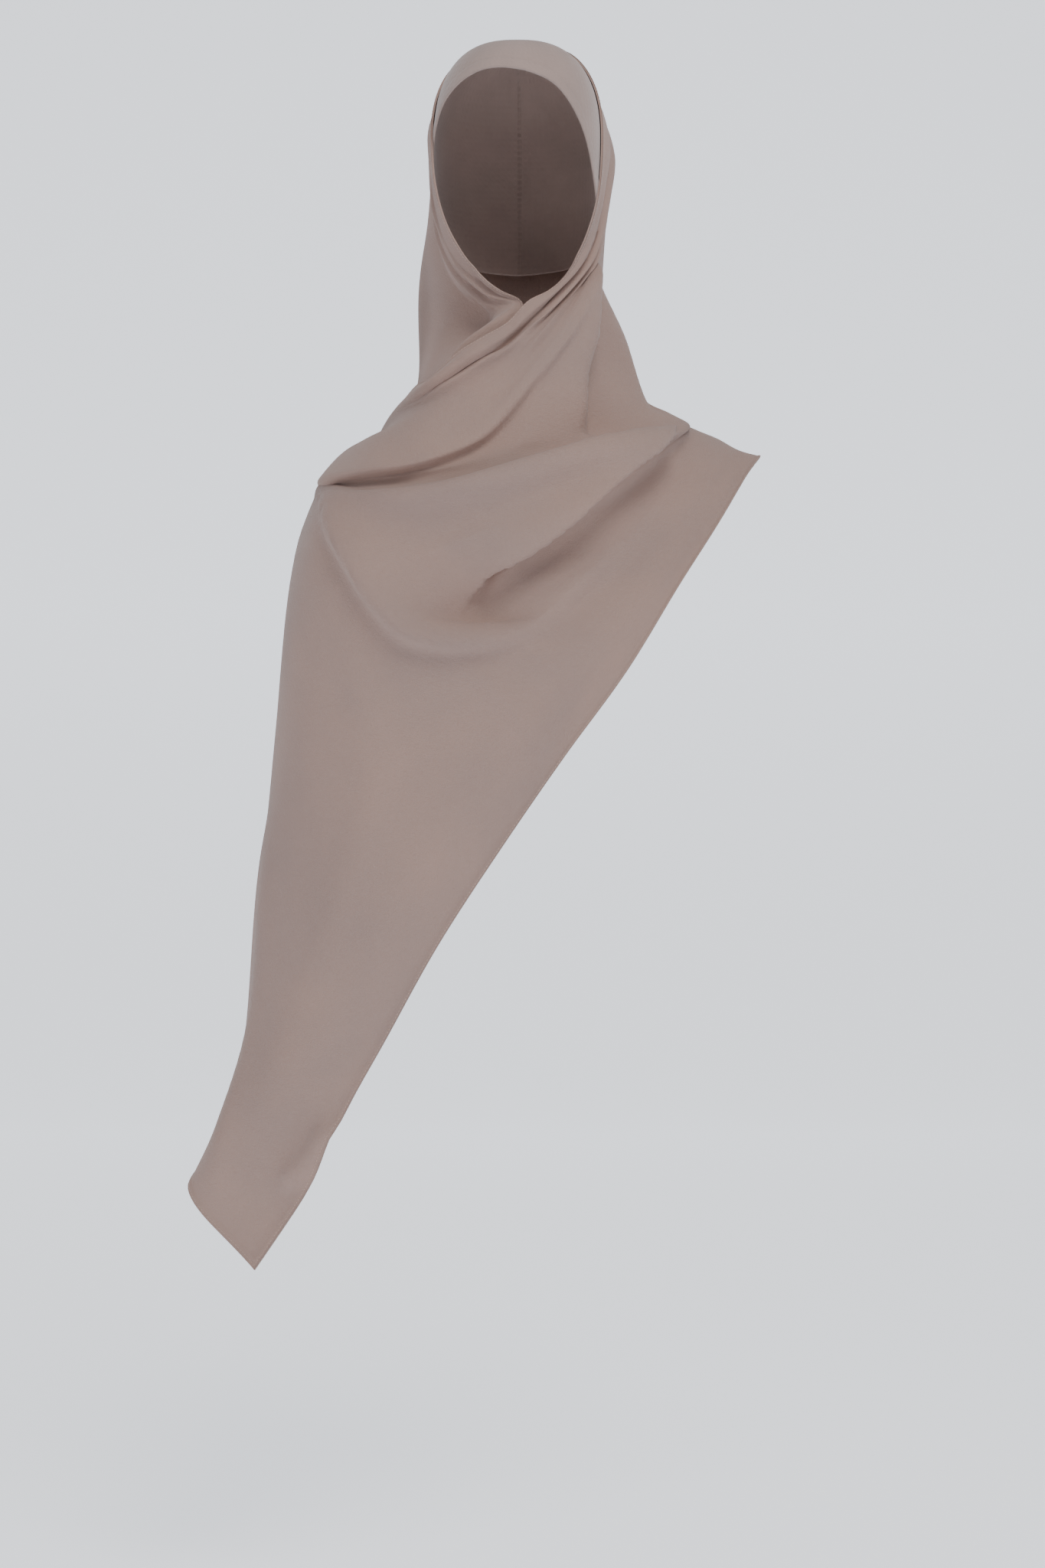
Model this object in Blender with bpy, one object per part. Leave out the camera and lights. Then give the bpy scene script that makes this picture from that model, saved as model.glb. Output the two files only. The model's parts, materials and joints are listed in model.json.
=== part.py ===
"""Chiffon hijab as a head holds it: a draped scarf, the jersey cap under it and the clasp hidden at the chin.

Metres, Z up, the front towards -Y. The origin is the crown of the head, so every height is at or below zero
but for the cloth that lies over the crown. The tables hold shares of the named sizes, never lengths.
"""
import math

import bmesh
import bpy
import numpy as np

# The head that the hijab is worn on; it is not built, the cap and the scarf keep clear of it.
HEAD_HALF_WIDTH = 0.078
HEAD_HALF_DEPTH = 0.098
HEAD_CROWN_RISE = 0.100
HEAD_CHIN_DROP = 0.155
HEAD_SQUARENESS = 2.6

# The drape: how far the worn scarf reaches to the side, to the front or back, and down from crown to chin.
DRAPE_HALF_SPAN = 0.200
DRAPE_HALF_DEPTH = 0.100
DRAPE_HEAD_DROP = 0.250
DRAPE_SIDE_SHIFT = 0.005
DRAPE_RISE = 0.0055

# Cloth of the scarf. The modelled sheet is as thick as a doubled layer of chiffon with its crinkle.
SCARF_THICKNESS = 0.0012
HEM_THICKNESS = 0.0020
FOLD_RISE = 0.010
CLOTH_PROPORTION = 2.7

# Jersey cap between the head and the scarf.
CAP_THICKNESS = 0.0012
CAP_BAND_THICKNESS = 0.0018
PIECE_GAP = 0.0005
SCARF_SLACK = 0.0017

# Clasp that holds the crossing layers together under the chin.
CLASP_DIAMETER = 0.007
CLASP_THICKNESS = 0.0022

# Each guide is one line along the scarf, at a share of its width from the face edge (0) to the lower hem (1).
# Rows: along (share of the scarf's length), side (of DRAPE_HALF_SPAN), depth (of DRAPE_HALF_DEPTH) and height
# (of DRAPE_HEAD_DROP). Along 0 is the short end under the chin, 0.13 the chin, 0.32 the crown, 0.50 the chin
# again, 0.62 the shoulder and 1 the long end.
GUIDES = (
    ("face edge", 0.0, (
        (0.000, -0.05, -1.02, -2.00), (0.067, -0.10, -0.95, -1.50), (0.110, -0.05, -0.845, -1.17),
        (0.128, 0.00, -0.765, -1.036), (0.141, -0.095, -0.73, -0.993), (0.154, -0.16, -0.72, -0.957),
        (0.167, -0.22, -0.68, -0.904), (0.190, -0.295, -0.62, -0.789), (0.210, -0.355, -0.52, -0.668),
        (0.233, -0.412, -0.35, -0.485), (0.256, -0.418, -0.20, -0.294), (0.279, -0.355, -0.05, -0.123),
        (0.315, -0.02, 0.20, 0.012), (0.349, 0.222, -0.15, -0.076), (0.374, 0.310, -0.22, -0.215),
        (0.397, 0.344, -0.30, -0.389), (0.421, 0.336, -0.38, -0.545), (0.446, 0.295, -0.52, -0.722),
        (0.469, 0.224, -0.62, -0.889), (0.490, 0.114, -0.76, -0.992), (0.503, 0.026, -0.84, -1.034),
        (0.518, -0.057, -0.895, -1.108), (0.538, -0.17, -1.04, -1.176), (0.559, -0.285, -1.04, -1.234),
        (0.579, -0.415, -0.85, -1.319), (0.600, -0.49, -0.45, -1.325), (0.621, -0.59, 0.10, -1.385),
        (0.651, -0.73, 0.76, -1.53), (0.718, -0.85, 1.06, -2.00), (0.821, -0.88, 0.90, -2.76),
        (1.000, -0.90, 0.80, -3.66))),
    ("head side", 0.08, (
        (0.000, -0.27, -0.98, -2.04), (0.056, -0.36, -0.88, -1.60), (0.090, -0.32, -0.87, -1.25),
        (0.105, -0.25, -0.865, -1.175), (0.118, -0.15, -0.83, -1.115), (0.128, -0.07, -0.73, -1.057),
        (0.141, -0.16, -0.62, -1.018), (0.154, -0.22, -0.56, -0.974), (0.167, -0.28, -0.50, -0.92),
        (0.190, -0.355, -0.40, -0.803), (0.210, -0.41, -0.28, -0.668), (0.233, -0.44, -0.05, -0.458),
        (0.256, -0.44, 0.15, -0.30), (0.279, -0.34, 0.40, -0.13), (0.315, 0.00, 0.60, -0.03),
        (0.349, 0.26, 0.35, -0.09), (0.374, 0.37, 0.15, -0.23), (0.397, 0.42, 0.10, -0.39),
        (0.421, 0.40, -0.06, -0.54), (0.446, 0.355, -0.25, -0.714), (0.469, 0.286, -0.45, -0.864),
        (0.490, 0.168, -0.68, -0.991), (0.503, 0.065, -0.82, -1.081), (0.518, -0.044, -0.91, -1.171),
        (0.538, -0.148, -1.08, -1.239), (0.559, -0.258, -1.10, -1.292), (0.579, -0.39, -1.02, -1.352),
        (0.600, -0.51, -0.70, -1.395), (0.621, -0.61, -0.20, -1.418), (0.656, -0.76, 0.60, -1.58),
        (0.718, -0.90, 1.04, -2.00), (0.821, -0.94, 1.22, -2.76), (1.000, -0.98, 1.18, -3.67))),
    ("jaw", 0.16, (
        (0.000, -0.42, -0.93, -2.08), (0.062, -0.47, -0.80, -1.64), (0.092, -0.41, -0.70, -1.42),
        (0.118, -0.33, -0.55, -1.24), (0.138, -0.25, -0.40, -1.096), (0.154, -0.30, -0.30, -1.004),
        (0.174, -0.36, -0.20, -0.911), (0.200, -0.41, -0.08, -0.758), (0.231, -0.44, 0.15, -0.50),
        (0.277, -0.33, 0.60, -0.24), (0.315, 0.00, 0.85, -0.16), (0.354, 0.30, 0.60, -0.24),
        (0.395, 0.41, 0.35, -0.46), (0.426, 0.385, 0.12, -0.66), (0.449, 0.35, -0.20, -0.81),
        (0.472, 0.30, -0.38, -0.898), (0.495, 0.18, -0.65, -1.037), (0.518, 0.06, -0.88, -1.156),
        (0.549, -0.10, -1.00, -1.284), (0.579, -0.25, -1.05, -1.381), (0.610, -0.43, -1.00, -1.45),
        (0.641, -0.59, -0.75, -1.488), (0.672, -0.74, -0.30, -1.521), (0.703, -0.82, 0.30, -1.56),
        (0.749, -0.91, 0.80, -1.82), (0.831, -1.00, 1.08, -2.48), (1.000, -1.08, 1.02, -3.68))),
    ("throat", 0.25, (
        (0.000, -0.55, -0.85, -2.12), (0.067, -0.59, -0.65, -1.76), (0.113, -0.48, -0.40, -1.43),
        (0.138, -0.43, -0.12, -1.22), (0.169, -0.43, 0.20, -1.042), (0.205, -0.465, 0.40, -0.764),
        (0.236, -0.44, 0.55, -0.60), (0.277, -0.30, 0.90, -0.38), (0.315, 0.00, 1.02, -0.40),
        (0.359, 0.30, 0.85, -0.44), (0.400, 0.40, 0.50, -0.64), (0.431, 0.35, 0.22, -0.85),
        (0.456, 0.345, -0.12, -0.862), (0.479, 0.32, -0.40, -0.962), (0.500, 0.25, -0.62, -1.091),
        (0.526, 0.13, -0.86, -1.247), (0.554, -0.04, -1.05, -1.425), (0.579, -0.19, -1.18, -1.554),
        (0.610, -0.40, -1.25, -1.635), (0.641, -0.56, -1.18, -1.662), (0.672, -0.77, -0.85, -1.672),
        (0.697, -0.94, -0.35, -1.666), (0.723, -0.95, 0.20, -1.70), (0.769, -1.01, 0.68, -1.94),
        (0.846, -1.06, 1.16, -2.52), (1.000, -1.14, 1.20, -3.70))),
    ("neck", 0.335, (
        (0.000, -0.70, -0.70, -2.14), (0.072, -0.71, -0.45, -1.78), (0.123, -0.55, -0.10, -1.46),
        (0.169, -0.495, 0.30, -1.25), (0.231, -0.475, 0.64, -0.80), (0.315, 0.00, 1.06, -0.70),
        (0.390, 0.38, 0.70, -0.76), (0.431, 0.375, 0.35, -0.94), (0.456, 0.41, 0.12, -1.004),
        (0.479, 0.50, 0.00, -1.148), (0.505, 0.515, -0.15, -1.295), (0.528, 0.44, -0.55, -1.446),
        (0.559, 0.23, -0.98, -1.533), (0.590, -0.04, -1.22, -1.606), (0.626, -0.28, -1.30, -1.67),
        (0.662, -0.53, -1.20, -1.71), (0.692, -0.78, -0.85, -1.711), (0.723, -0.95, -0.35, -1.692),
        (0.754, -0.99, 0.20, -1.80), (0.800, -1.05, 0.60, -2.12), (0.872, -1.12, 0.90, -2.68),
        (1.000, -1.22, 1.00, -3.72))),
    ("big roll", 0.42, (
        (0.000, -0.78, -0.50, -2.14), (0.077, -0.77, -0.27, -1.82), (0.128, -0.60, 0.03, -1.53),
        (0.174, -0.495, 0.43, -1.28), (0.231, -0.465, 0.75, -1.02), (0.315, 0.00, 1.08, -1.00),
        (0.400, 0.37, 0.75, -1.00), (0.441, 0.42, 0.40, -1.12), (0.477, 0.465, 0.20, -1.33),
        (0.508, 0.68, -0.08, -1.40), (0.533, 0.72, -0.45, -1.47), (0.574, 0.43, -1.05, -1.559),
        (0.621, 0.03, -1.38, -1.649), (0.662, -0.37, -1.42, -1.736), (0.697, -0.68, -1.15, -1.754),
        (0.728, -0.91, -0.65, -1.725), (0.759, -1.03, 0.00, -1.82), (0.810, -1.10, 0.40, -2.18),
        (0.892, -1.18, 0.92, -2.80), (1.000, -1.26, 1.10, -3.74))),
    ("chest", 0.56, (
        (0.000, -0.88, -0.12, -2.18), (0.077, -0.86, 0.05, -1.90), (0.154, -0.66, 0.42, -1.56),
        (0.231, -0.45, 1.00, -1.44), (0.315, 0.00, 1.20, -1.42), (0.400, 0.37, 0.95, -1.30),
        (0.462, 0.59, 0.35, -1.42), (0.503, 0.73, 0.05, -1.43), (0.536, 0.75, -0.45, -1.50),
        (0.579, 0.41, -1.15, -1.70), (0.626, 0.03, -1.40, -1.861), (0.672, -0.37, -1.40, -1.929),
        (0.708, -0.70, -1.25, -1.924), (0.738, -0.91, -1.00, -1.971), (0.779, -1.06, -0.60, -2.17),
        (0.831, -1.16, -0.10, -2.64), (0.897, -1.25, 0.45, -3.16), (1.000, -1.31, 0.62, -3.94))),
    ("lower roll", 0.72, (
        (0.000, -0.90, 0.25, -2.28), (0.077, -0.88, 0.38, -2.04), (0.154, -0.71, 0.74, -1.82),
        (0.231, -0.47, 1.20, -1.80), (0.315, 0.00, 1.35, -1.80), (0.400, 0.40, 1.15, -1.62),
        (0.462, 0.68, 0.60, -1.47), (0.503, 0.81, 0.10, -1.46), (0.538, 0.79, -0.35, -1.521),
        (0.579, 0.41, -1.00, -1.804), (0.626, 0.06, -1.15, -2.03), (0.667, -0.20, -1.20, -2.21),
        (0.708, -0.48, -1.30, -2.23), (0.759, -0.70, -1.15, -2.487), (0.821, -0.97, -0.80, -2.847),
        (0.872, -1.18, -0.35, -3.10), (0.933, -1.31, 0.20, -3.70), (1.000, -1.38, 0.45, -4.20))),
    ("front panel", 0.86, (
        (0.000, -0.84, 0.55, -2.36), (0.077, -0.85, 0.68, -2.22), (0.154, -0.70, 0.98, -2.12),
        (0.231, -0.47, 1.40, -2.16), (0.315, 0.00, 1.48, -2.14), (0.400, 0.45, 1.35, -1.90),
        (0.462, 0.77, 0.90, -1.62), (0.503, 0.95, 0.40, -1.50), (0.528, 0.97, 0.00, -1.532),
        (0.559, 0.88, -0.50, -1.656), (0.600, 0.69, -0.95, -1.90), (0.656, 0.40, -1.30, -2.187),
        (0.718, 0.06, -1.35, -2.476), (0.769, -0.28, -1.30, -2.764), (0.821, -0.63, -1.15, -3.15),
        (0.882, -0.97, -0.90, -3.60), (0.938, -1.28, -0.55, -3.963), (1.000, -1.57, -0.10, -4.326))),
    ("lower hem", 1.0, (
        (0.000, -0.76, 0.80, -2.40), (0.077, -0.78, 0.92, -2.34), (0.154, -0.68, 1.12, -2.36),
        (0.231, -0.45, 1.50, -2.42), (0.315, 0.00, 1.55, -2.40), (0.400, 0.47, 1.45, -2.14),
        (0.462, 0.82, 1.10, -1.82), (0.503, 1.04, 0.65, -1.62), (0.528, 1.13, 0.20, -1.556),
        (0.556, 1.05, -0.30, -1.647), (0.592, 0.89, -0.75, -1.858), (0.626, 0.72, -1.05, -2.069),
        (0.674, 0.47, -1.25, -2.395), (0.723, 0.19, -1.25, -2.703), (0.774, -0.09, -1.20, -3.028),
        (0.828, -0.38, -1.05, -3.385), (0.881, -0.63, -0.90, -3.746), (0.918, -0.81, -0.80, -4.007),
        (0.949, -0.93, -0.70, -4.229), (0.971, -1.05, -0.60, -4.379), (1.000, -1.24, -0.50, -4.603))),
)

# Folds are ridges (rise above 0) and creases (below 0) along a line drawn on the flat cloth.
# Rows: name, rise and lean (shares of FOLD_RISE), half width on the face-edge side and on the hem side
# (shares of the scarf's width), and the line as (along, across) shares.
FOLDS = (
    ("front strip", 0.4, 0.2, 0.030, 0.022, ((0.34, 0.035), (0.42, 0.035), (0.50, 0.038), (0.63, 0.045))),
    ("strip crease", -0.4, 0.0, 0.016, 0.016, ((0.37, 0.095), (0.46, 0.092), (0.54, 0.095), (0.62, 0.105))),
    ("jaw pleat", 0.25, 0.0, 0.010, 0.018, ((0.38, 0.120), (0.43, 0.115), (0.48, 0.115), (0.56, 0.12))),
    ("jaw pleat crease", -0.15, 0.0, 0.012, 0.012, ((0.41, 0.152), (0.46, 0.150), (0.53, 0.155))),
    ("second jaw pleat", 0.20, 0.0, 0.010, 0.020, ((0.40, 0.180), (0.45, 0.172), (0.51, 0.176))),
    ("second jaw crease", -0.10, 0.0, 0.016, 0.016,
        ((0.42, 0.215), (0.47, 0.213), (0.53, 0.22), (0.58, 0.225))),
    ("throat fold", 0.6, 0.0, 0.030, 0.020,
        ((0.46, 0.245), (0.518, 0.245), (0.574, 0.250), (0.636, 0.254), (0.677, 0.262), (0.695, 0.28))),
    ("neck fold", 0.4, 0.0, 0.030, 0.018, ((0.455, 0.250), (0.495, 0.268), (0.523, 0.280), (0.555, 0.325))),
    ("neck crease", -0.8, 0.0, 0.020, 0.030,
        ((0.455, 0.285), (0.495, 0.298), (0.525, 0.310), (0.562, 0.355))),
    ("neck hollow", -0.5, 0.0, 0.022, 0.022,
        ((0.460, 0.380), (0.480, 0.382), (0.500, 0.385), (0.515, 0.385))),
    ("crease behind the roll", -0.7, 0.0, 0.045, 0.030, ((0.56, 0.375), (0.61, 0.378), (0.66, 0.375))),
    ("big roll", 1.2, -0.2, 0.030, 0.050, ((0.565, 0.425), (0.61, 0.432), (0.66, 0.430), (0.72, 0.43))),
    ("crease under the roll", -0.4, 0.0, 0.035, 0.040, ((0.58, 0.50), (0.63, 0.50), (0.68, 0.49))),
    ("lower roll", 1.3, 0.1, 0.060, 0.034,
        ((0.562, 0.46), (0.575, 0.495), (0.594, 0.545), (0.620, 0.585), (0.646, 0.612), (0.668, 0.67))),
    ("crease under it", -0.7, 0.0, 0.024, 0.040,
        ((0.566, 0.525), (0.580, 0.56), (0.600, 0.602), (0.624, 0.638), (0.650, 0.67), (0.674, 0.74))),
    ("cowl", 1.2, 0.0, 0.060, 0.028,
        ((0.733, 0.44), (0.723, 0.55), (0.717, 0.66), (0.714, 0.74),
         (0.695, 0.785), (0.650, 0.79), (0.59, 0.80))),
    ("tension crease", 0.4, 0.0, 0.022, 0.022, ((0.712, 0.78), (0.73, 0.85), (0.732, 0.92), (0.73, 0.98))),
    ("left jaw crease", -0.35, 0.0, 0.012, 0.012, ((0.130, 0.045), (0.175, 0.045), (0.23, 0.05))),
    ("left jaw pleat", 0.4, 0.0, 0.012, 0.012, ((0.130, 0.070), (0.175, 0.070), (0.23, 0.075))),
    ("left recess", -1.0, 0.0, 0.016, 0.050, ((0.118, 0.115), (0.150, 0.115), (0.185, 0.12), (0.22, 0.13))),
)

# Hanging folds spread like a fan over the back, between the along shares at the face edge and at the hem.
# Rows: name, along start and end at the face edge, along start and end at the hem, across share where they
# begin and where they are full, how many, rise (share of FOLD_RISE).
HANGING_FOLDS = (
    ("back of the head", 0.240, 0.400, 0.195, 0.470, 0.34, 0.80, 4, 1.5),
)

# Where the cap ends: azimuth from the front (degrees, plus to the wearer's left) and height as a share of
# HEAD_CHIN_DROP below the crown.
CAP_EDGE = (
    (-180, -1.28), (-140, -1.25), (-110, -1.12), (-96, -0.98), (-84, -0.82), (-73, -0.63), (-59, -0.53),
    (-47, -0.42), (-31, -0.315), (-21, -0.272), (-10, -0.262), (4, -0.282), (17, -0.335), (24, -0.39),
    (33, -0.52), (42, -0.665), (50, -0.85), (62, -1.02), (90, -1.15), (140, -1.25), (180, -1.28),
)

# Over the cap the face edge lies snug: between these shares along, fading out at this share across, and
# fading in over this share of its length at both ends.
SNUG_ALONG = (0.215, 0.435)
SNUG_ACROSS = 0.06
SNUG_RAMP = 0.25

# A fold's line is read in this many stretches, and the fold fades in and out over this share of it.
FOLD_STRETCHES = 32
FOLD_FADE = 0.22

ALONG_STEPS = 68
ACROSS_LINES = (
    0.0, 0.014, 0.035, 0.058, 0.080, 0.100, 0.125, 0.150, 0.180, 0.215, 0.255, 0.295, 0.335, 0.375, 0.420,
    0.460, 0.505, 0.550, 0.595, 0.635, 0.665, 0.700, 0.740, 0.775, 0.810, 0.860, 0.910, 0.955, 0.988, 1.0,
)
CAP_TURNS = 40
CAP_RINGS = 10
CLASP_SIDES = 24

# Where the clasp sits on the under layer, as (along, across) shares of the flat cloth, and its section from
# one pole to the other: share of its radius, share of its half thickness.
CLASP_PLACE = (0.108, 0.018)
CLASP_SECTION = (
    (0.55, 1.0), (0.80, 0.86), (0.95, 0.52), (1.00, 0.0), (0.95, -0.52), (0.80, -0.86), (0.55, -1.0),
)

SCARF_COLOUR = (0.40, 0.30, 0.26, 1.0)
CAP_COLOUR = (0.37, 0.28, 0.245, 1.0)
CLASP_COLOUR = (0.55, 0.53, 0.50, 1.0)


def clear_scene():
    """Remove whatever the file opened with."""
    for item in list(bpy.data.objects):
        bpy.data.objects.remove(item, do_unlink=True)


def spline(knots, values, at):
    """Smooth curve through `values` at uneven `knots`, read at `at`."""
    knots = np.asarray(knots, float)
    values = np.asarray(values, float)
    shape = (-1,) + (1,) * (values.ndim - 1)
    span = np.diff(knots).reshape(shape)
    slope = np.diff(values, axis=0) / span
    tangent = np.empty_like(values)
    tangent[0] = slope[0]
    tangent[-1] = slope[-1]
    tangent[1:-1] = (slope[1:] * span[:-1] + slope[:-1] * span[1:]) / (span[:-1] + span[1:])
    index = np.clip(np.searchsorted(knots, at) - 1, 0, len(knots) - 2)
    u = ((at - knots[index]).reshape(shape)) / span[index]
    rise = span[index] * tangent[index]
    fall = span[index] * tangent[index + 1]
    start = (2 * u ** 3 - 3 * u ** 2 + 1) * values[index] + (u ** 3 - 2 * u ** 2 + u) * rise
    end = (3 * u ** 2 - 2 * u ** 3) * values[index + 1] + (u ** 3 - u ** 2) * fall
    return start + end


def ease(share):
    """Zero at 0, one at 1, flat at both."""
    share = np.clip(share, 0.0, 1.0)
    return share * share * (3.0 - 2.0 * share)


def unit(vectors):
    """Vectors scaled to length one."""
    return vectors / np.maximum(np.linalg.norm(vectors, axis=-1, keepdims=True), 1e-12)


def head_centre():
    """Middle of the head that the hijab sits on."""
    return np.array([0.0, 0.0, -HEAD_CROWN_RISE])


def head_level(offsets):
    """How far out `offsets` from the head's centre are: 1 on the head, above 1 outside it."""
    rise = np.where(offsets[..., 2] > 0.0, HEAD_CROWN_RISE, HEAD_CHIN_DROP)
    n = HEAD_SQUARENESS
    total = (np.abs(offsets[..., 0] / HEAD_HALF_WIDTH) ** n
             + np.abs(offsets[..., 1] / HEAD_HALF_DEPTH) ** n
             + np.abs(offsets[..., 2] / rise) ** n)
    return np.maximum(total, 1e-9) ** (1.0 / n)


def keep_off_head(points, clearance, snug):
    """Move the points that lie too near the head straight out from its centre, and draw the snug ones to it."""
    offsets = points - head_centre()
    radius = np.linalg.norm(offsets, axis=-1)
    shortest = radius / head_level(offsets) + clearance
    longer = np.maximum(radius + (shortest - radius) * snug, shortest)
    return head_centre() + offsets * (longer / np.maximum(radius, 1e-9))[..., None]


def base_cloth(along, across):
    """The drape without its folds: points indexed [along, across]."""
    size = np.array([DRAPE_HALF_SPAN, DRAPE_HALF_DEPTH, DRAPE_HEAD_DROP])
    shift = np.array([DRAPE_SIDE_SHIFT, 0.0, DRAPE_RISE])
    lines = []
    for _, _, rows in GUIDES:
        rows = np.array(rows)
        lines.append(spline(rows[:, 0], rows[:, 1:] * size + shift, along))
    shares = [guide[1] for guide in GUIDES]
    return np.transpose(spline(shares, np.array(lines), across), (1, 0, 2))


def frame_of(points):
    """Unit directions along, across and out of the cloth."""
    along = unit(np.gradient(points, axis=0))
    across = unit(np.gradient(points, axis=1))
    return along, across, unit(np.cross(along, across))


def fold_push(along, across, frame, row):
    """What one fold adds: out of the cloth by its rise, and across its own line by its lean."""
    _, rise, lean, edge_width, hem_width, line = row
    line = np.array(line) * (CLOTH_PROPORTION, 1.0)
    line = spline(np.linspace(0.0, 1.0, len(line)), line, np.linspace(0.0, 1.0, FOLD_STRETCHES + 1))
    steps = np.diff(line, axis=0)
    lengths = np.linalg.norm(steps, axis=1)
    total = lengths.sum()
    begun = np.concatenate([[0.0], np.cumsum(lengths)[:-1]])
    hemward = 1.0 if line[-1, 0] >= line[0, 0] else -1.0
    x = along * CLOTH_PROPORTION
    nearest = np.full(x.shape, np.inf)
    beyond = np.zeros(x.shape, bool)
    side = np.zeros(x.shape + (2,))
    stretches = []
    for start, step, length, before in zip(line[:-1], steps, lengths, begun):
        run = step / length
        turn = np.array([-run[1], run[0]]) * hemward
        travel = np.clip((x - start[0]) * run[0] + (across - start[1]) * run[1], 0.0, length)
        gap_x = x - start[0] - travel * run[0]
        gap_y = across - start[1] - travel * run[1]
        distance = np.hypot(gap_x, gap_y)
        closer = distance < nearest
        nearest[closer] = distance[closer]
        beyond[closer] = (gap_x * turn[0] + gap_y * turn[1] >= 0.0)[closer]
        side[closer] = turn
        share = (before + travel) / total
        stretches.append((distance, ease(share / FOLD_FADE) * ease((1.0 - share) / FOLD_FADE)))
    width = np.where(beyond, hem_width, edge_width)
    bump = np.max([np.exp(-(distance / width) ** 2) * fade for distance, fade in stretches], axis=0)
    run_out, cross_out, normal = frame
    push = rise * normal + lean * (side[..., :1] * run_out + side[..., 1:] * cross_out)
    return bump[..., None] * push * FOLD_RISE


def hanging_rise(along, across, row):
    """Height of one fan of hanging folds over the flat cloth."""
    _, top_start, top_end, hem_start, hem_end, begin, full, count, rise = row
    start = top_start + (hem_start - top_start) * across
    end = top_end + (hem_end - top_end) * across
    share = (along - start) / (end - start)
    inside = ease(share * count) * ease((1.0 - share) * count)
    grown = ease((across - begin) / (full - begin))
    return rise * FOLD_RISE * np.sin(2.0 * math.pi * count * share) * inside * grown


def scarf_points(along, across):
    """The scarf's middle surface with its folds, clear of the head and of the cap."""
    points = base_cloth(along, across)
    frame = frame_of(points)
    grid_along, grid_across = np.meshgrid(along, across, indexing="ij")
    pushed = points.copy()
    for row in FOLDS:
        pushed = pushed + fold_push(grid_along, grid_across, frame, row)
    for row in HANGING_FOLDS:
        pushed = pushed + hanging_rise(grid_along, grid_across, row)[..., None] * frame[2]
    clearance = CAP_BAND_THICKNESS + SCARF_SLACK + HEM_THICKNESS / 2
    snug = ease((SNUG_ACROSS - grid_across) / SNUG_ACROSS)
    for start, end in (SNUG_ALONG, SNUG_ALONG[::-1]):
        snug = snug * ease((grid_along - start) / (end - start) / SNUG_RAMP)
    return keep_off_head(pushed, clearance, snug)


def sheet_normals(points):
    """Unit normals of a grid of points, out of the cloth."""
    return frame_of(points)[2]


def grid_triangles(points):
    """Triangles of a grid of points numbered column by column, each cell cut along its shorter diagonal."""
    columns, rows = points.shape[:2]
    faces = []
    for i in range(columns - 1):
        for j in range(rows - 1):
            a = i * rows + j
            b, c, d = a + 1, a + rows + 1, a + rows
            rising = np.linalg.norm(points[i, j] - points[i + 1, j + 1])
            falling = np.linalg.norm(points[i + 1, j] - points[i, j + 1])
            faces += [(c, b, a), (d, c, a)] if rising < falling else [(d, b, a), (d, c, b)]
    return faces


def closed_sheet(points, normals, thickness):
    """A sheet with two faces and a rim round all four edges, from its middle surface."""
    columns, rows = points.shape[:2]
    half = thickness[..., None] / 2
    outer = (points + normals * half).reshape(-1, 3)
    inner = (points - normals * half).reshape(-1, 3)
    count = columns * rows
    faces = grid_triangles(points)
    faces += [(c + count, b + count, a + count) for a, b, c in faces]
    edge = [j for j in range(rows)]
    edge += [i * rows + rows - 1 for i in range(1, columns)]
    edge += [(columns - 1) * rows + j for j in range(rows - 2, -1, -1)]
    edge += [i * rows for i in range(columns - 2, 0, -1)]
    for a, b in zip(edge, edge[1:] + edge[:1]):
        faces.append((b, a, a + count, b + count))
    return np.vstack([outer, inner]), faces


def material(name, colour, roughness):
    """Plain Principled material."""
    made = bpy.data.materials.new(name)
    made.use_nodes = True
    shader = made.node_tree.nodes["Principled BSDF"]
    shader.inputs["Base Color"].default_value = colour
    shader.inputs["Roughness"].default_value = roughness
    return made


def add_piece(name, vertices, faces, look):
    """One named object from vertices and faces, with its normals out and shaded smooth."""
    mesh = bpy.data.meshes.new(name)
    mesh.from_pydata([tuple(vertex) for vertex in vertices], [], faces)
    mesh.materials.append(look)
    shape = bmesh.new()
    shape.from_mesh(mesh)
    bmesh.ops.recalc_face_normals(shape, faces=shape.faces[:])
    shape.to_mesh(mesh)
    shape.free()
    mesh.shade_smooth()
    piece = bpy.data.objects.new(name, mesh)
    bpy.context.scene.collection.objects.link(piece)
    return piece


def scarf_sheet():
    """The scarf's middle surface, its normals and its thickness on the part's own grid."""
    along = np.linspace(0.0, 1.0, ALONG_STEPS + 1)
    across = np.array(ACROSS_LINES)
    points = scarf_points(along, across)
    thickness = np.full(points.shape[:2], SCARF_THICKNESS)
    thickness[:, :2] = HEM_THICKNESS
    thickness[:, -2:] = HEM_THICKNESS
    thickness[:1] = HEM_THICKNESS
    thickness[-1:] = HEM_THICKNESS
    return points, sheet_normals(points), thickness


def build_scarf():
    """The whole scarf as one sheet."""
    vertices, faces = closed_sheet(*scarf_sheet())
    return add_piece("scarf", vertices, faces, material("taupe_chiffon", SCARF_COLOUR, 0.85))


def cap_direction(azimuth, polar):
    """Unit direction from the head's centre, azimuth from the front and polar angle from the crown."""
    flat = np.sin(polar)
    return np.stack([flat * np.sin(azimuth), -flat * np.cos(azimuth), np.cos(polar)], axis=-1)


def cap_edge_angle(azimuth):
    """Polar angle at which the head's surface has come down to the cap's edge, at one azimuth."""
    rows = np.array(CAP_EDGE)
    height = np.interp(math.degrees(azimuth), rows[:, 0], rows[:, 1]) * HEAD_CHIN_DROP
    polar = np.linspace(0.05, math.pi * 0.8, 400)
    direction = cap_direction(np.full(polar.shape, azimuth), polar)
    surface = direction / head_level(direction)[:, None]
    return np.interp(-height, -(surface[:, 2] - HEAD_CROWN_RISE), polar)


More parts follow.
